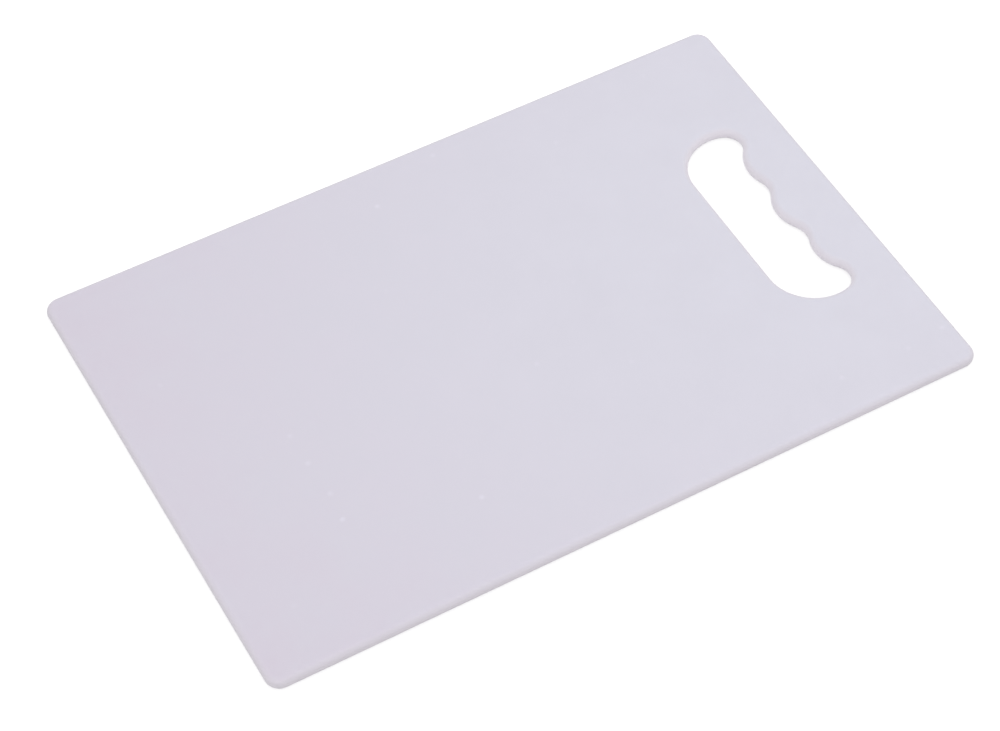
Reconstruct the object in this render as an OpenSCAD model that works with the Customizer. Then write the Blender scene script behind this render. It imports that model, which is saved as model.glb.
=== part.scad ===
/* [Mat] */
// Length of the mat, from the plain end to the end with the hand slot
mat_length = 300; // [280:1:380]
// Width of the mat
mat_width = 200; // [160:1:260]
// Thickness of the mat
mat_thickness = 5; // [5:0.1:8]
// Radius of the four corners, seen from above
corner_radius = 6; // [4:0.5:20]

/* [Rims] */
// Radius that rounds the rims of the mat and of the slot, on both faces
rim_radius = 2.4; // [0.8:0.1:2.4]
// Angle at which that rounding runs out into the face
rim_angle = 8; // [6:1:20]

/* [Hand slot] */
// Distance from the end of the mat to the slot's straight side, where the palm goes
palm_inset = 48.2; // [45:0.1:52]
// Radius of the two large corners beside the straight side
palm_radius = 18.9; // [17:0.1:20]
// Distance from the end of the mat to the centres of the two outer finger hollows
outer_inset = 26.7; // [25.5:0.1:27.5]
// Distance from the middle line to the centres of the outer finger hollows
outer_reach = 39.3; // [38:0.1:44]
// Radius of the outer finger hollows
outer_radius = 7.2; // [6.5:0.1:8]
// Distance from the end of the mat to the centres of the two inner finger hollows
inner_inset = 32.9; // [31.5:0.1:33.5]
// Distance from the middle line to the centres of the inner finger hollows
inner_reach = 14.1; // [13:0.1:15]
// Radius of the inner finger hollows
inner_radius = 9.9; // [9:0.1:10.5]
// Radius of the three crests that part the fingers
crest_radius = 16.2; // [14:0.1:18]

/* [Hidden] */
$fn = 96;

// Height of the rounding at a rim
rim_height = rim_radius * cos(rim_angle);
// Neighbouring arcs of the slot run into each other by this much, so that their walls cross
lap = 0.05;
// Angle by which the large corners run on over the end of the straight side
overrun = 12;
// Height by which the cuts stand proud of both faces
proud = 1;

// Centre of the corner where X and Y are positive
corner = [mat_length / 2 - corner_radius, mat_width / 2 - corner_radius];

// Third side of a right triangle, from its longest side and one other
function leg(longest, other) = sqrt(longest * longest - other * other);

// Direction from one point to another, in degrees
function bearing(from, to) = atan2(to.y - from.y, to.x - from.x);

// Point at the distances far_a from a and far_b from b, to the left on the way from a to b
function meeting_point(a, far_a, b, far_b) =
    let (
        span = norm(b - a),
        along = (far_a * far_a - far_b * far_b + span * span) / (2 * span),
        way = (b - a) / span
    )
    a + along * way + leg(far_a, along) * [-way.y, way.x];

// X of the slot's straight side
palm_x = mat_length / 2 - palm_inset;
// Centres of the finger hollows, of the crests and of the large corner, where Y is positive
outer = [mat_length / 2 - outer_inset, outer_reach];
inner = [mat_length / 2 - inner_inset, inner_reach];
crest = meeting_point(outer, outer_radius + crest_radius - lap, inner, inner_radius + crest_radius - lap);
middle_crest = [inner.x + leg(inner_radius + crest_radius - lap, inner.y), 0];
palm_corner_x = palm_x + palm_radius - lap;
palm_corner = [
    palm_corner_x,
    outer.y - leg(palm_radius - outer_radius + lap, palm_corner_x - outer.x)
];

// Section of what the rounding takes off the lower rim of a wall at X = 0, with the plastic at negative X
module rim_cut() {
    difference() {
        translate([-rim_radius, -proud]) square([rim_radius + proud, rim_height + proud]);
        translate([-rim_radius, rim_height]) circle(rim_radius);
    }
}

// The same for both rims of the wall
module rim_cuts() {
    rim_cut();
    translate([0, mat_thickness]) mirror([0, 1]) rim_cut();
}

// Section of the plastic, from the wall at X = 0 inwards to X = -depth
module plastic_section(depth) {
    difference() {
        translate([-depth, 0]) square([depth, mat_thickness]);
        rim_cuts();
    }
}

// Section of a cut through the mat, from X = -depth to the wall at X = 0, with flared rims
module cut_section(depth) {
    translate([-depth, -proud]) square([depth, mat_thickness + 2 * proud]);
    mirror([1, 0]) rim_cuts();
}

// The mat without its slot: a long middle, two ends and four corners
module blank() {
    rotate([90, 0, 90]) translate([0, 0, -corner.x]) linear_extrude(2 * corner.x)
        for (side = [0, 1]) mirror([side, 0]) translate([mat_width / 2, 0]) plastic_section(mat_width / 2);
    for (end = [0, 1]) mirror([end, 0, 0]) {
        translate([mat_length / 2, corner.y, 0]) rotate([90, 0, 0])
            linear_extrude(2 * corner.y) plastic_section(corner_radius);
        for (side = [0, 1]) mirror([0, side, 0]) translate([corner.x, corner.y, 0])
            rotate_extrude(angle = 90) translate([corner_radius, 0]) plastic_section(corner_radius);
    }
}

// Cut round an arc that has its centre in the slot, full circle or from one direction to another
module hollow(centre, radius, from = 0, to = 360) {
    translate([centre.x, centre.y, 0]) rotate_extrude(start = from, angle = to - from) intersection() {
        translate([radius, 0]) cut_section(radius + proud);
        translate([0, -proud]) square([2 * radius, mat_thickness + 2 * proud]);
    }
}

// Cut round an arc that has its centre in the plastic, from one direction to another
module round_crest(centre, from, to) {
    translate([centre.x, centre.y, 0]) rotate_extrude(start = from, angle = to - from)
        translate([crest_radius, 0]) mirror([1, 0]) cut_section(inner_radius);
}

// Cut along the slot's straight side
module palm_side() {
    translate([palm_x, palm_corner.y, 0]) rotate([90, 0, 0])
        linear_extrude(2 * palm_corner.y) mirror([1, 0]) cut_section(palm_radius);
}

// The hand slot, with room for the palm on one side and for four fingers on the other
module hand_slot() {
    palm_side();
    for (side = [0, 1]) mirror([0, side, 0]) {
        hollow(palm_corner, palm_radius, bearing(palm_corner, outer), 180 + overrun);
        hollow(outer, outer_radius);
        hollow(inner, inner_radius);
        round_crest(crest, bearing(crest, outer), 360 + bearing(crest, inner));
    }
    round_crest(middle_crest, bearing(middle_crest, inner), 360 - bearing(middle_crest, inner));
}

// The whole mat, which is one moulded sheet
module cutting_mat() {
    color([0.85, 0.84, 0.88]) difference() {
        blank();
        hand_slot();
    }
}

cutting_mat();
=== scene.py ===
"""Looks of the cutting mat: one moulded plastic sheet with a four-finger hand slot, on a white floor.

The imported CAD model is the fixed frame. The sheet's mesh is built here from the same sizes, finer than
the CAD model's own triangles, and stands for the CAD node. All lengths are in metres, and angles are in
radians unless a name says otherwise.
"""

import logging
import math
from dataclasses import dataclass, field
from enum import Enum

import bmesh
import bpy
from mathutils import Matrix, Vector, kdtree, noise
from mathutils.geometry import delaunay_2d_cdt


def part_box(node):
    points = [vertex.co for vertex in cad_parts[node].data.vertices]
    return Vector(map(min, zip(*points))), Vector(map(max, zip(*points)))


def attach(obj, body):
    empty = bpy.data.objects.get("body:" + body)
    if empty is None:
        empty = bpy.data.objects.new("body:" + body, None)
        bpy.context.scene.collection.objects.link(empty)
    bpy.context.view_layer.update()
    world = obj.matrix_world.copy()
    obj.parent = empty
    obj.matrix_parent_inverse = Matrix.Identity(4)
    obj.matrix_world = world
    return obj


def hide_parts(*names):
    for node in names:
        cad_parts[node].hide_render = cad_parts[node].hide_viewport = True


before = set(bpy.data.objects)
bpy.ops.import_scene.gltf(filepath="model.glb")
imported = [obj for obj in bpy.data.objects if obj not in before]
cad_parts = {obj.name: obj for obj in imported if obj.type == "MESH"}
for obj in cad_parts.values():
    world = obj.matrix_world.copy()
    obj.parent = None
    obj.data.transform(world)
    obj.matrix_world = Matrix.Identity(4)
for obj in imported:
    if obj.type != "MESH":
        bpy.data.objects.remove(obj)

log = logging.getLogger("cutting_mat")

MM = 0.001
QUARTER_TURN = math.pi / 2
QUARTER_TURN_DEGREES = 90
BODY = "root"
NODE = "cutting_mat"
PIECE = "mat_sheet"

# Values that the sheet's mesh holds for its finish and its painted light: how much of a rim a point is,
# and of a slot's rim
RIM_ATTRIBUTE = "rim_share"
SLOT_ATTRIBUTE = "slot_rim_share"

# Steps of a display colour, and the curve from display to light: a straight foot, then a power
DISPLAY_STEPS = 255
FOOT_END = 0.04045
FOOT_SLOPE = 12.92
CURVE_OFFSET = 0.055
CURVE_POWER = 2.4
WHITE = (1.0, 1.0, 1.0, 1.0)

# How the outlines and faces are divided: the fewest steps of an arc, triangles inside the outlines
# alone, and the distance within which two points are one
FEWEST_STEPS = 2
TRIANGLES_INSIDE = 1
MERGE_DISTANCE = 1e-6

# Size of the matrices that turn the camera
MATRIX_SIZE = 4

# Types of a node group's sockets, and the places of a Mix node's sockets for colours
VALUE_SOCKET = "NodeSocketFloat"
VECTOR_SOCKET = "NodeSocketVector"
MIX_INPUTS = (6, 7)
MIX_OUTPUT = 2

# Make of the grain's pips and pits and of the clouds, and the value in the middle of a mask
PIP_NOISE = {"Detail": 2.0, "Roughness": 0.55}
PIT_SMOOTHNESS = 0.6
PIT_HEIGHT = 0.45
CLOUD_NOISE = {"Detail": 5.0, "Roughness": 0.65}
MASK_MIDDLE = 0.5

Colour = tuple[float, float, float]
Place = tuple[float, float, float]
Outputs = bpy.types.bpy_prop_collection
Sockets = dict[str, bpy.types.NodeSocket]


class Face(Enum):
    """The two large faces of the sheet, by the direction in which they look."""

    UNDERSIDE = -1
    CUTTING = 1


class PlasticSide(Enum):
    """The side of an arc where the plastic lies: outside a hollow, inside a crest or a corner."""

    OUTSIDE = -1
    INSIDE = 1


def linear(tone: float) -> float:
    """Turns one display value of a colour into the linear value that a shader takes.

    Args:
        tone: The display value, from 0 to 1.

    Returns:
        The linear value.
    """
    if tone <= FOOT_END:
        return tone / FOOT_SLOPE
    return ((tone + CURVE_OFFSET) / (1 + CURVE_OFFSET)) ** CURVE_POWER


def shader_colour(display: Colour) -> tuple[float, float, float, float]:
    """Turns a display colour into the colour of a shader socket.

    Args:
        display: Red, green and blue, from 0 to 255.

    Returns:
        The linear colour with an alpha of 1.
    """
    red, green, blue = (linear(part / DISPLAY_STEPS) for part in display)
    return red, green, blue, 1.0


def smooth_rise(value: float) -> float:
    """Rises smoothly from 0 to 1 as the value goes from 0 to 1, and stays there."""
    held = min(1.0, max(0.0, value))
    return held * held * (3 - 2 * held)


def bearing(start: Vector, end: Vector) -> float:
    """The direction from one point to another."""
    return math.atan2(end.y - start.y, end.x - start.x)


def leg(longest: float, other: float) -> float:
    """The third side of a right triangle, from its longest side and one other."""
    return math.sqrt(longest * longest - other * other)


def put(name: str, data: bpy.types.ID) -> bpy.types.Object:
    """Makes an object and puts it in the scene.

    Args:
        name: The object's name.
        data: Its mesh, lamp or camera.

    Returns:
        The object.
    """
    made = bpy.data.objects.new(name, data)
    bpy.context.scene.collection.objects.link(made)
    return made


@dataclass(frozen=True)
class OutlinePoint:
    """A point of an outline and the direction that leads out of the plastic there."""

    place: Vector
    outward: Vector

    def inset(self, depth: float) -> Vector:
        """The point that lies this deep in the plastic."""
        return self.place - depth * self.outward

    def mirrored(self) -> "OutlinePoint":
        """The same point on the other side of the middle line."""
        flip = Vector((1, -1))
        return OutlinePoint(self.place * flip, self.outward * flip)


@dataclass(frozen=True)
class Arc:
    """A round stretch of an outline, from one direction to another as seen from its centre."""

    centre: Vector
    radius: float
    start: float
    end: float
    plastic: PlasticSide

    def points(self, spacing: float) -> list[OutlinePoint]:
        """Spreads points evenly along the arc, with both its ends.

        Args:
            spacing: The largest distance between two points.

        Returns:
            The points, in order.
        """
        steps = max(FEWEST_STEPS, math.ceil(self.radius * abs(self.end - self.start) / spacing))
        found = []
        for step in range(steps + 1):
            angle = self.start + (self.end - self.start) * step / steps
            ray = Vector((math.cos(angle), math.sin(angle)))
            found.append(OutlinePoint(self.centre + self.radius * ray, self.plastic.value * ray))
        return found


def along(arcs: list[Arc], spacing: float) -> list[OutlinePoint]:
    """Spreads points along arcs that run into each other, with one point at each meeting.

    Args:
        arcs: The arcs, each starting where the last one ends.
        spacing: The largest distance between two points.

    Returns:
        The points, in order, with both ends.
    """
    found = arcs[0].points(spacing)
    for arc in arcs[1:]:
        found += arc.points(spacing)[1:]
    return found


def between(start: OutlinePoint, end: OutlinePoint, spacing: float) -> list[OutlinePoint]:
    """Spreads points evenly along a straight stretch of an outline, without its ends.

    Args:
        start: The point where the stretch starts.
        end: The point where it ends.
        spacing: The largest distance between two points.

    Returns:
        The points, in order.
    """
    steps = math.ceil((end.place - start.place).length / spacing)
    places = [start.place.lerp(end.place, step / steps) for step in range(1, steps)]
    return [OutlinePoint(place, start.outward) for place in places]


@dataclass(frozen=True)
class Outline:
    """A closed line of points round the plastic, or round a hole in it."""

    points: list[OutlinePoint]

    def inset(self, depth: float) -> "Outline":
        """The same line, this deep in the plastic."""
        return Outline([OutlinePoint(point.inset(depth), point.outward) for point in self.points])

    def holds(self, place: Vector) -> bool:
        """Tells whether a point lies within the line, by counting crossings to one side of it.

        Args:
            place: The point, seen from above.

        Returns:
            Whether it does.
        """
        crossings = 0
        for start, end in zip(self.points, self.points[1:] + self.points[:1]):
            a, b = start.place, end.place
            if (a.y > place.y) != (b.y > place.y):
                crossings += place.x < a.x + (place.y - a.y) / (b.y - a.y) * (b.x - a.x)
        return crossings % 2 == 1


@dataclass
class HandSlot:
    """The slot for the palm and four fingers, placed from the mat's end and its middle line."""

    mat_length: float
    palm_inset: float = 48.2 * MM
    palm_radius: float = 18.9 * MM
    outer_inset: float = 26.7 * MM
    outer_reach: float = 39.3 * MM
    outer_radius: float = 7.2 * MM
    inner_inset: float = 32.9 * MM
    inner_reach: float = 14.1 * MM
    inner_radius: float = 9.9 * MM
    crest_radius: float = 16.2 * MM

    def crest_centre(self, outer: Vector, inner: Vector) -> Vector:
        """Finds the centre of the crest that touches the outer and the inner hollow.

        Args:
            outer: Centre of the outer hollow.
            inner: Centre of the inner hollow.

        Returns:
            The crest's centre, on the side of the mat's end.
        """
        far_outer = self.outer_radius + self.crest_radius
        far_inner = self.inner_radius + self.crest_radius
        span = (inner - outer).length
        onward = (far_outer**2 - far_inner**2 + span**2) / (2 * span)
        way = (inner - outer) / span
        return outer + onward * way + leg(far_outer, onward) * Vector((-way.y, way.x))

    def half_outline(self, spacing: float) -> list[OutlinePoint]:
        """Follows the slot's side of positive Y, from the tip of the middle crest to the straight side.

        Args:
            spacing: The largest distance between two points.

        Returns:
            The points, with both ends.
        """
        end = self.mat_length / 2
        outer = Vector((end - self.outer_inset, self.outer_reach))
        inner = Vector((end - self.inner_inset, self.inner_reach))
        crest = self.crest_centre(outer, inner)
        middle = Vector((inner.x + leg(self.inner_radius + self.crest_radius, inner.y), 0))
        palm_x = end - self.palm_inset + self.palm_radius
        palm = Vector((palm_x, outer.y - leg(self.palm_radius - self.outer_radius, palm_x - outer.x)))
        crest_start = math.tau + bearing(crest, inner)
        hollow, crested = PlasticSide.OUTSIDE, PlasticSide.INSIDE
        return along(
            [
                Arc(middle, self.crest_radius, math.pi, bearing(middle, inner), crested),
                Arc(inner, self.inner_radius, bearing(inner, middle), bearing(inner, crest), hollow),
                Arc(crest, self.crest_radius, crest_start, bearing(crest, outer), crested),
                Arc(outer, self.outer_radius, bearing(outer, crest), bearing(palm, outer), hollow),
                Arc(palm, self.palm_radius, bearing(palm, outer), math.pi, hollow),
            ],
            spacing,
        )

    def outline(self, spacing: float, straight_spacing: float) -> Outline:
        """Follows the whole slot once round, anticlockwise.

        Args:
            spacing: The largest distance between two points of an arc.
            straight_spacing: The largest distance between two points of the straight side.

        Returns:
            The outline.
        """
        half = self.half_outline(spacing)
        other_half = [point.mirrored() for point in half[:0:-1]]
        return Outline(half + between(half[-1], other_half[0], straight_spacing) + other_half)


@dataclass(frozen=True)
class Rounding:
    """The rounding of every rim, the same on both faces."""

    radius: float = 2.4 * MM
    steps: int = 16

    def section(self, thickness: float) -> list[tuple[float, float, float]]:
        """Follows the edge of the sheet from the cutting face round to the underside.

        Args:
            thickness: The sheet's thickness.

        Returns:
            For each step the depth in the plastic, the height, and how much of a rim it is, from 0 at
            the face to 1 at the wall.
        """
        upper = []
        for step in range(self.steps + 1):
            turn = QUARTER_TURN * step / self.steps
            depth = self.radius * (1 - math.sin(turn))
            upper.append((depth, thickness - self.radius * (1 - math.cos(turn)), math.sin(turn)))
        middle = [(0.0, thickness / 2, 1.0)]
        lower = [(depth, thickness - height, share) for depth, height, share in reversed(upper)]
        return upper + middle + lower


@dataclass
class Sheet:
    """The moulded sheet, with its outline, its hand slot and its rounded rims."""

    low: Vector
    high: Vector
    slot: HandSlot
    rounding: Rounding = Rounding()
    corner_radius: float = 6.0 * MM
    arc_spacing: float = 0.6 * MM
    straight_spacing: float = 3.0 * MM
    grid_spacing: float = 5.0 * MM
    margins: tuple[float, float] = (1.2 * MM, 3.2 * MM)
    unevenness: float = 0.04 * MM
    patch_width: float = 55 * MM
    patch_margin: float = 15 * MM
    edge: Outline = field(init=False)
    hole: Outline = field(init=False)
    rims: kdtree.KDTree = field(init=False)

    def __post_init__(self) -> None:
        """Works out the outlines, and a tree that finds the nearest rim."""
        self.edge = self.outer_outline()
        self.hole = self.slot.outline(self.arc_spacing, self.straight_spacing)
        points = self.edge.points + self.hole.points
        self.rims = kdtree.KDTree(len(points))
        for index, point in enumerate(points):
            self.rims.insert(point.place.to_3d(), index)
        self.rims.balance()

    @property
    def length(self) -> float:
        """The sheet's length, along X."""
        return self.high.x - self.low.x

    @property
    def width(self) -> float:
        """The sheet's width, along Y."""
        return self.high.y - self.low.y

    @property
    def thickness(self) -> float:
        """The sheet's thickness, along Z."""
        return self.high.z - self.low.z

    def outer_outline(self) -> Outline:
        """Follows the sheet's outer edge once round, anticlockwise.

        Returns:
            The outline.
        """
        radius = self.corner_radius
        reach = Vector((self.length / 2 - radius, self.width / 2 - radius))
        corners = []
        for turn, signs in enumerate(((1, 1), (-1, 1), (-1, -1), (1, -1))):
            start = turn * QUARTER_TURN
            arc = Arc(reach * Vector(signs), radius, start, start + QUARTER_TURN, PlasticSide.INSIDE)
            corners.append(arc.points(self.arc_spacing))
        found = []
        for corner, following in zip(corners, corners[1:] + corners[:1]):
            found += corner + between(corner[-1], following[0], self.straight_spacing)
        return Outline(found)

    def rim_distance(self, place: Vector) -> float:
        """The distance from a point to the nearest outline point."""
        return self.rims.find(place.to_3d())[2]

    def height(self, place: Vector, face: Face) -> float:
        """Finds how high a face lies. A moulded face sinks a little in places, but never at its rims.

        Args:
            place: The point of the face, seen from above.
            face: Which face it lies on.

        Returns:
            The height.
        """
        patch = noise.noise(Vector((*place, face.value * self.length)) / self.patch_width)
        share = smooth_rise(self.rim_distance(place) / self.patch_margin)
        sink = self.unevenness * share * (1 + patch) / 2
        return self.thickness / 2 + face.value * (self.thickness / 2 - sink)

    def inner_points(self) -> list[Vector]:
        """Chooses points inside the faces, close together near the rims and wider apart elsewhere.

        Returns:
            The points, seen from above.
        """
        found = []
        for order, margin in enumerate(self.margins, start=1):
            depth = self.rounding.radius + margin
            thinning = 2**order
            for outline in (self.edge, self.hole):
                found += [point.inset(depth) for point in outline.points[::thinning]]
        clear = self.rounding.radius + self.margins[-1] + self.grid_spacing / 2
        columns = round(self.length / self.grid_spacing)
        rows = round(self.width / self.grid_spacing)
        for column in range(1, columns):
            x = self.low.x + self.length * column / columns
            for row in range(1, rows):
                place = Vector((x, self.low.y + self.width * row / rows))
                if self.rim_distance(place) > clear and not self.hole.holds(place):
                    found.append(place)
        return found

    def add_rings(self, shape: bmesh.types.BMesh, outline: Outline) -> list[list[bmesh.types.BMVert]]:
        """Builds the rounded edge along one outline.

        Args:
            shape: The mesh that it is added to.
            outline: The outline.

        Returns:
            The rings of vertices, from the cutting face to the underside.
        """
        names = (RIM_ATTRIBUTE, SLOT_ATTRIBUTE) if outline is self.hole else (RIM_ATTRIBUTE,)
        shares = [shape.verts.layers.float[name] for name in names]
        rings = []
        for depth, height, rim in self.rounding.section(self.thickness):
            ring = [shape.verts.new((*point.inset(depth), height)) for point in outline.points]
            for vert in ring:
                for share in shares:
                    vert[share] = rim
            rings.append(ring)
        for upper, lower in zip(rings, rings[1:]):
            for here, there in zip(range(-1, len(upper) - 1), range(len(upper))):
                shape.faces.new((upper[here], lower[here], lower[there], upper[there]))
        return rings

    def fill_face(
        self,
        shape: bmesh.types.BMesh,
        face: Face,
        rims: list[list[bmesh.types.BMVert]],
        inner: list[Vector],
    ) -> None:
        """Fills one face of the sheet with triangles, between its outer rim and the slot's.

        Args:
            shape: The mesh that it is added to.
            face: Which face it is.
            rims: The rings of vertices where the roundings end.
            inner: The points inside the face.
        """
        known = [vert for rim in rims for vert in rim]
        bounds = []
        for rim in rims:
            first = len(bounds)
            bounds += [(first + step, first + (step + 1) % len(rim)) for step in range(len(rim))]
        places = [vert.co.to_2d() for vert in known] + inner
        filling = delaunay_2d_cdt(places, bounds, [], TRIANGLES_INSIDE, MERGE_DISTANCE)
        met, _, triangles, origins, _, _ = filling
        opening = self.hole.inset(self.rounding.radius)
        verts = []
        for place, origin in zip(met, origins):
            if origin[0] < len(known):
                verts.append(known[origin[0]])
            else:
                verts.append(shape.verts.new((*place, self.height(place, face))))
        for triangle in triangles:
            middle = sum((met[index] for index in triangle), Vector((0, 0))) / len(triangle)
            if not opening.holds(middle):
                shape.faces.new([verts[index] for index in triangle])

    def build(self) -> bpy.types.Object:
        """Builds the sheet's mesh.

        Returns:
            The sheet, in place.
        """
        shape = bmesh.new()
        for name in (RIM_ATTRIBUTE, SLOT_ATTRIBUTE):
            shape.verts.layers.float.new(name)
        rings = [self.add_rings(shape, outline) for outline in (self.edge, self.hole)]
        inner = self.inner_points()
        self.fill_face(shape, Face.CUTTING, [ring[0] for ring in rings], inner)
        self.fill_face(shape, Face.UNDERSIDE, [ring[-1] for ring in rings], inner)
        bmesh.ops.recalc_face_normals(shape, faces=shape.faces[:])
        mesh = bpy.data.meshes.new(PIECE)
        shape.to_mesh(mesh)
        shape.free()
        mesh.shade_smooth()
        return put(PIECE, mesh)


@dataclass
class NodeTree:
    """A tree of shader nodes, with short ways to add a node to it."""

    tree: bpy.types.NodeTree

    def add(
        self, kind: str, settings: dict[str, object] | None = None, terms: tuple = (), **inputs: object
    ) -> bpy.types.Node:
        """Adds a node. An input takes a plain value or another node's output.

        Args:
            kind: The node's type in Blender.
            settings: Its properties by name.
            terms: What its first inputs take, in order.
            inputs: What its other inputs take, by name, with _ for a space.

        Returns:
            The node.
        """
        node = self.tree.nodes.new(kind)
        for name, value in (settings or {}).items():
            setattr(node, name, value)
        for socket, value in zip(node.inputs, terms):
            self.feed(socket, value)
        for name, value in inputs.items():
            self.feed(node.inputs[name.replace("_", " ")], value)
        return node

    def feed(self, socket: bpy.types.NodeSocket, value: object) -> None:
        """Sets an input to a plain value, or links another node's output to it.

        Args:
            socket: The input.
            value: The value or the output.
        """
        if isinstance(value, bpy.types.NodeSocket):
            self.tree.links.new(value, socket)
        else:
            socket.default_value = value

    def attribute(self, name: str) -> bpy.types.NodeSocket:
        """Gives one of the values that the mesh holds."""
        return self.add("ShaderNodeAttribute", {"attribute_name": name}).outputs["Fac"]

    def effect(self, group: bpy.types.ShaderNodeTree, **inputs: object) -> Outputs:
        """Places an effect in the tree, with its own values, and gives its outputs."""
        return self.add("ShaderNodeGroup", {"node_tree": group}, **inputs).outputs

    def calculate(self, operation: str, *terms: object) -> bpy.types.NodeSocket:
        """Adds a calculation with two or three values and gives its result."""
        return self.add("ShaderNodeMath", {"operation": operation}, terms).outputs["Value"]

    def combine(self, operation: str, first: object, second: object) -> Outputs:
        """Adds a calculation with two vectors and gives its outputs, Vector and Value."""
        return self.add("ShaderNodeVectorMath", {"operation": operation}, (first, second)).outputs

    def blend(self, share: object, first: object, second: object) -> bpy.types.NodeSocket:
        """Adds a blend of two colours.

        Args:
            share: How much of the second colour there is, from 0 to 1.
            first: The first colour.
            second: The second colour.

        Returns:
            The blended colour.
        """
        node = self.add("ShaderNodeMix", {"data_type": "RGBA"}, (share,))
        for place, colour in zip(MIX_INPUTS, (first, second)):
            self.feed(node.inputs[place], colour)
        return node.outputs[MIX_OUTPUT]


def effect_group(
    name: str, inputs: dict[str, str], outputs: dict[str, str]
) -> tuple[NodeTree, Sockets, Sockets]:
    """Makes an empty group of shader nodes.

    Args:
        name: The group's name.
        inputs: The type of each input by its name.
        outputs: The type of each output by its name.

    Returns:
        The group's tree, what its inputs give inside it, and the sockets that take its results.
    """
    tree = bpy.data.node_groups.new(name, "ShaderNodeTree")
    for side, sockets in (("INPUT", inputs), ("OUTPUT", outputs)):
        for socket, kind in sockets.items():
            tree.interface.new_socket(socket, in_out=side, socket_type=kind)
    given = tree.nodes.new("NodeGroupInput").outputs
    results = tree.nodes.new("NodeGroupOutput").inputs
    return NodeTree(tree), {key: given[key] for key in inputs}, {key: results[key] for key in outputs}


def grain_group() -> bpy.types.ShaderNodeTree:
    """Builds the fine grain that a mould leaves on plastic: soft pips with small pits among them.

    Returns:
        The group, with a height, and a mask from 0 to 1 that follows the pips.
    """
    bench, given, results = effect_group(
        "moulded_grain",
        {"Place": VECTOR_SOCKET, "Pip Width": VALUE_SOCKET},
        {"Height": VALUE_SOCKET, "Mask": VALUE_SOCKET},
    )
    shared = {"Vector": given["Place"], "Scale": bench.calculate("DIVIDE", 1.0, given["Pip Width"])}
    pips = bench.add("ShaderNodeTexNoise", **shared, **PIP_NOISE).outputs["Fac"]
    pits = bench.add(
        "ShaderNodeTexVoronoi", {"feature": "SMOOTH_F1"}, **shared, Smoothness=PIT_SMOOTHNESS
    ).outputs["Distance"]
    bench.feed(results["Height"], bench.calculate("MULTIPLY_ADD", pits, PIT_HEIGHT, pips))
    bench.feed(results["Mask"], pips)
    return bench.tree


def drift_group() -> bpy.types.ShaderNodeTree:
    """Builds a slow, cloudy change over the surface, as from plastic that cooled unevenly.

    Returns:
        The group, with a mask from 0 to 1.
    """
    bench, given, results = effect_group(
        "cloudy_drift",
        {"Place": VECTOR_SOCKET, "Cloud Width": VALUE_SOCKET, "Contrast": VALUE_SOCKET},
        {"Mask": VALUE_SOCKET},
    )
    scale = bench.calculate("DIVIDE", 1.0, given["Cloud Width"])
    cloud = bench.add("ShaderNodeTexNoise", Vector=given["Place"], Scale=scale, **CLOUD_NOISE)
    centred = bench.calculate("SUBTRACT", cloud.outputs["Fac"], MASK_MIDDLE)
    stretched = bench.add(
        "ShaderNodeMath",
        {"operation": "MULTIPLY_ADD", "use_clamp": True},
        (centred, given["Contrast"], MASK_MIDDLE),
    )
    bench.feed(results["Mask"], stretched.outputs["Value"])
    return bench.tree


def fleck_group() -> bpy.types.ShaderNodeTree:
    """Builds tiny scattered flecks, some faint and a few clear.

    Returns:
        The group, with a mask of up to 1 in the middle of a fleck.
    """
    bench, given, results = effect_group(
        "flecks",
        {
            "Place": VECTOR_SOCKET,
            "Cell Width": VALUE_SOCKET,
            "Fleck Width": VALUE_SOCKET,
            "Share": VALUE_SOCKET,
        },
        {"Mask": VALUE_SOCKET},
    )
    cells = bench.add(
        "ShaderNodeTexVoronoi",
        {"voronoi_dimensions": "2D"},
        Vector=given["Place"],
        Scale=bench.calculate("DIVIDE", 1.0, given["Cell Width"]),
    ).outputs
    near = bench.add(
        "ShaderNodeMapRange",
        {"interpolation_type": "SMOOTHSTEP"},
        Value=cells["Distance"],
        From_Min=0.0,
        From_Max=bench.calculate("DIVIDE", given["Fleck Width"], given["Cell Width"]),
        To_Min=1.0,
        To_Max=0.0,
    ).outputs["Result"]
    lot = bench.add("ShaderNodeSeparateColor", Color=cells["Color"]).outputs
    chosen = bench.calculate("LESS_THAN", lot["Red"], given["Share"])
    strength = bench.calculate("MULTIPLY", lot["Green"], lot["Green"])
    strong = bench.calculate("MULTIPLY", chosen, strength)
    bench.feed(results["Mask"], bench.calculate("MULTIPLY", near, strong))
    return bench.tree


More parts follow.
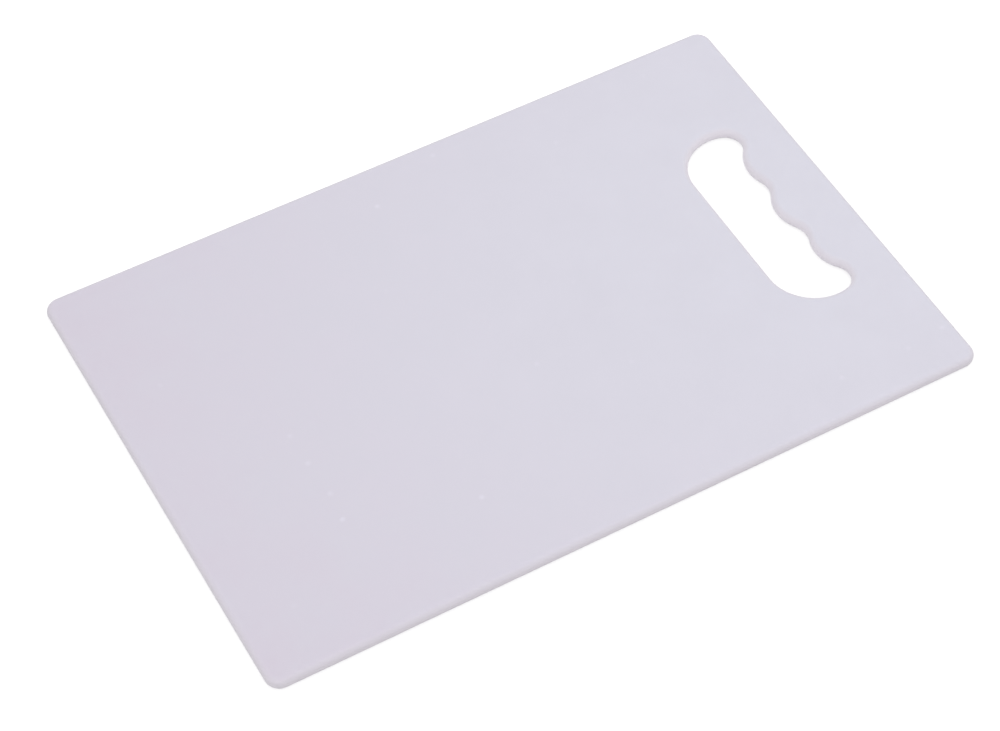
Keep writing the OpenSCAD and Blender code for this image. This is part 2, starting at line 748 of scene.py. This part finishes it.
@dataclass(frozen=True)
class SatinPlastic:
    """Finish of the sheet: pale satin plastic with fine grain, faint clouds, flecks and smooth rims,
    with painted light on the rims and painted shade towards the plain end.
    """

    tone: Colour = (215, 214, 225)
    # Partly the plastic's tone, partly painted shade: the sheet turns darker and pinker towards the
    # plain end, where less light falls.
    far_tone_and_shade: Colour = (210, 202, 215)
    cloud_tone: Colour = (211, 209, 220)
    # Partly the rims' own warmer colour, partly painted light: bounce light and light through the
    # plastic on the walls.
    rim_tone_and_light: Colour = (217, 212, 220)
    # Painted light: the slot's rims are lighter, standing in for the light that reaches the slot's
    # walls.
    slot_rim_light_tone: Colour = (232, 227, 235)
    fleck_tone: Colour = (220, 217, 229)
    gradient_centre: tuple[float, float] = (170 * MM, 0.0)
    gradient_reach: tuple[float, float] = (350 * MM, 243 * MM)
    cloud_width: float = 24 * MM
    cloud_contrast: float = 2.2
    cloud_share: float = 0.6
    pip_width: float = 0.55 * MM
    pip_depth: float = 0.012 * MM
    fleck_cell: float = 16 * MM
    fleck_width: float = 1.7 * MM
    fleck_share: float = 0.15
    roughness: float = 0.46
    grain_roughness: float = 0.10
    cloud_roughness: float = 0.06
    rim_polish: float = 0.07
    translucency: float = 0.3
    translucency_depth: float = 2.0 * MM
    translucency_spread: Colour = (1.0, 1.0, 1.0)

    def farness(self, bench: NodeTree, place: bpy.types.NodeSocket) -> bpy.types.NodeSocket:
        """Tells how far a point is from the end with the slot, for the change of tone and painted shade
        towards the plain end.

        Args:
            bench: The material's nodes.
            place: The point.

        Returns:
            A value that rises from near 0 at that end to 1 at the corners of the plain end.
        """
        centred = bench.combine("SUBTRACT", place, (*self.gradient_centre, 0.0))["Vector"]
        shrink = (1 / self.gradient_reach[0], 1 / self.gradient_reach[1], 0.0)
        scaled = bench.combine("MULTIPLY", centred, shrink)["Vector"]
        return bench.combine("DOT_PRODUCT", scaled, scaled)["Value"]

    def material(self) -> bpy.types.Material:
        """Builds the material.

        Returns:
            The material.
        """
        material = bpy.data.materials.new("satin_plastic")
        material.use_nodes = True
        bench = NodeTree(material.node_tree)
        place = bench.add("ShaderNodeTexCoord").outputs["Object"]
        rim = bench.attribute(RIM_ATTRIBUTE)
        slot_rim = bench.attribute(SLOT_ATTRIBUTE)
        grain = bench.effect(grain_group(), Place=place, Pip_Width=self.pip_width)
        cloud = bench.effect(
            drift_group(), Place=place, Cloud_Width=self.cloud_width, Contrast=self.cloud_contrast
        )["Mask"]
        fleck = bench.effect(
            fleck_group(),
            Place=place,
            Cell_Width=self.fleck_cell,
            Fleck_Width=self.fleck_width,
            Share=self.fleck_share,
        )["Mask"]

        colour = shader_colour(self.tone)
        for share, tone in (
            # Darker towards the plain end: partly tone, partly painted shade.
            (self.farness(bench, place), self.far_tone_and_shade),
            (bench.calculate("MULTIPLY", cloud, self.cloud_share), self.cloud_tone),
            (fleck, self.fleck_tone),
            # Rims: partly their own colour, partly painted light.
            (rim, self.rim_tone_and_light),
            # Painted light on the slot's rims, strongest on their walls.
            (bench.calculate("MULTIPLY", slot_rim, slot_rim), self.slot_rim_light_tone),
        ):
            colour = bench.blend(share, colour, shader_colour(tone))

        smoothest = self.roughness - self.grain_roughness / 2
        grained = bench.calculate("MULTIPLY_ADD", grain["Mask"], self.grain_roughness, smoothest)
        clouded = bench.calculate("MULTIPLY_ADD", cloud, self.cloud_roughness, grained)
        polish = bench.calculate("MULTIPLY", rim, self.rim_polish)

        flat_share = bench.calculate("SUBTRACT", 1.0, rim)
        relief = bench.calculate("MULTIPLY", grain["Height"], flat_share)
        bump = bench.add("ShaderNodeBump", Height=relief, Strength=1.0, Distance=self.pip_depth)

        shader = bench.tree.nodes["Principled BSDF"]
        for name, value in {
            "Base Color": colour,
            "Roughness": bench.calculate("SUBTRACT", clouded, polish),
            "Normal": bump.outputs["Normal"],
            "Subsurface Weight": self.translucency,
            "Subsurface Radius": self.translucency_spread,
            "Subsurface Scale": self.translucency_depth,
        }.items():
            bench.feed(shader.inputs[name], value)
        return material


@dataclass(frozen=True)
class Softbox:
    """A large soft lamp that looks at a point of the scene."""

    name: str
    place: Place
    aim: Place
    side: float
    power: float

    def light(self) -> None:
        """Hangs the lamp."""
        lamp = bpy.data.lights.new(self.name, "AREA")
        lamp.shape = "SQUARE"
        lamp.size = self.side
        lamp.energy = self.power
        way = Vector(self.aim) - Vector(self.place)
        holder = put(self.name, lamp)
        holder.location = self.place
        holder.rotation_euler = way.to_track_quat("-Z", "Y").to_euler()


@dataclass(frozen=True)
class Studio:
    """A white floor under a white sky that is brighter above, with three soft lamps."""

    floor_size: float = 12.0
    floor_gap: float = 0.05 * MM
    floor_tone: float = 0.68
    floor_glow: float = 1.2
    glow_share: float = 0.58
    horizon: float = 0.16
    zenith: float = 0.97
    full_height: float = 0.6
    lamps: tuple[Softbox, ...] = (
        Softbox("key_softbox", place=(0.6, 0.5, 1.15), aim=(0.1, 0.0, 0.0), side=0.8, power=1.7),
        Softbox("front_softbox", place=(-1.04, -0.88, 0.95), aim=(0.0, 0.0, 0.0), side=1.0, power=3.8),
        Softbox("side_softbox", place=(0.8, -0.7, 0.45), aim=(0.1, 0.0, 0.0), side=0.6, power=0.9),
    )

    def build(self) -> None:
        """Lays the floor, sets the sky and hangs the lamps."""
        self.lay_floor()
        self.set_sky()
        for lamp in self.lamps:
            lamp.light()

    @staticmethod
    def seen_white(bench: NodeTree) -> bpy.types.NodeSocket:
        """Tells where the camera sees a surface, also in a reflection or through a clear piece.

        Args:
            bench: The surface's nodes.

        Returns:
            A value of 1 where it does, and 0 elsewhere.
        """
        path = bench.add("ShaderNodeLightPath").outputs
        reflected = bench.calculate("MAXIMUM", path["Is Glossy Ray"], path["Is Transmission Ray"])
        return bench.calculate("MAXIMUM", path["Is Camera Ray"], reflected)

    def lay_floor(self) -> None:
        """Lays a floor that looks white, takes a shadow, and throws light back as a pale one does."""
        half = self.floor_size / 2
        mesh = bpy.data.meshes.new("studio_floor")
        signs = ((-1, -1), (1, -1), (1, 1), (-1, 1))
        corners = [(x * half, y * half, -self.floor_gap) for x, y in signs]
        mesh.from_pydata(corners, [], [range(len(corners))])
        material = bpy.data.materials.new("white_floor")
        material.use_nodes = True
        bench = NodeTree(material.node_tree)
        bench.tree.nodes.remove(bench.tree.nodes["Principled BSDF"])
        seen = self.seen_white(bench)
        tone = bench.add("ShaderNodeMapRange", Value=seen, To_Min=self.floor_tone, To_Max=1.0)
        matt = bench.add("ShaderNodeBsdfDiffuse", Color=tone.outputs["Result"])
        glow = bench.add("ShaderNodeEmission", Color=WHITE, Strength=self.floor_glow)
        share = bench.calculate("MULTIPLY", seen, self.glow_share)
        surfaces = (share, matt.outputs["BSDF"], glow.outputs["Emission"])
        mixed = bench.add("ShaderNodeMixShader", terms=surfaces).outputs["Shader"]
        bench.feed(bench.tree.nodes["Material Output"].inputs["Surface"], mixed)
        mesh.materials.append(material)
        put("studio_floor", mesh)

    def set_sky(self) -> None:
        """Sets a sky that lights the sheet softly, most from above, and looks white itself."""
        world = bpy.data.worlds.new("studio_sky")
        world.use_nodes = True
        bench = NodeTree(world.node_tree)
        way = bench.add("ShaderNodeTexCoord").outputs["Generated"]
        lit = bench.add(
            "ShaderNodeMapRange",
            Value=bench.add("ShaderNodeSeparateXYZ", Vector=way).outputs["Z"],
            From_Max=self.full_height,
            To_Min=self.horizon,
            To_Max=self.zenith,
        ).outputs["Result"]
        seen = self.seen_white(bench)
        strength = bench.add("ShaderNodeMapRange", Value=seen, To_Min=lit, To_Max=1.0)
        background = bench.tree.nodes["Background"]
        bench.feed(background.inputs["Color"], WHITE)
        bench.feed(background.inputs["Strength"], strength.outputs["Result"])
        bpy.context.scene.world = world


@dataclass(frozen=True)
class PhotoCamera:
    """The camera, placed by the point that it looks at, as the photograph was taken."""

    aim: Place = (-11.03 * MM, -14.44 * MM, 5.0 * MM)
    distance: float = 1066.6 * MM
    heading_degrees: float = 28.70
    elevation_degrees: float = 51.87
    roll_degrees: float = -0.69
    lens_mm: float = 101.4
    sensor_mm: float = 36.0

    def place(self) -> None:
        """Sets up the camera. Its heading turns clockwise from looking along +Y."""
        tilt_degrees = QUARTER_TURN_DEGREES - self.elevation_degrees
        matrix = Matrix.Translation(self.aim)
        for degrees, axis in (
            (-self.heading_degrees, "Z"),
            (tilt_degrees, "X"),
            (self.roll_degrees, "Z"),
        ):
            matrix = matrix @ Matrix.Rotation(math.radians(degrees), MATRIX_SIZE, axis)
        camera = bpy.data.cameras.new("photo_camera")
        camera.lens = self.lens_mm
        camera.sensor_width = self.sensor_mm
        holder = put("photo_camera", camera)
        holder.matrix_world = matrix @ Matrix.Translation((0, 0, self.distance))
        bpy.context.scene.camera = holder


def main() -> None:
    """Builds the sheet round the frame, lights it and places the camera."""
    logging.basicConfig(level=logging.INFO, format="%(name)s: %(message)s")
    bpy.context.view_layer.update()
    low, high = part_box(NODE)
    piece = Sheet(low, high, HandSlot(high.x - low.x)).build()
    piece.data.materials.append(SatinPlastic().material())
    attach(piece, BODY)
    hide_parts(NODE)
    log.info("%s: %d faces", piece.name, len(piece.data.polygons))
    Studio().build()
    PhotoCamera().place()
    bpy.context.scene.view_settings.view_transform = "Standard"


if __name__ == "__main__":
    main()
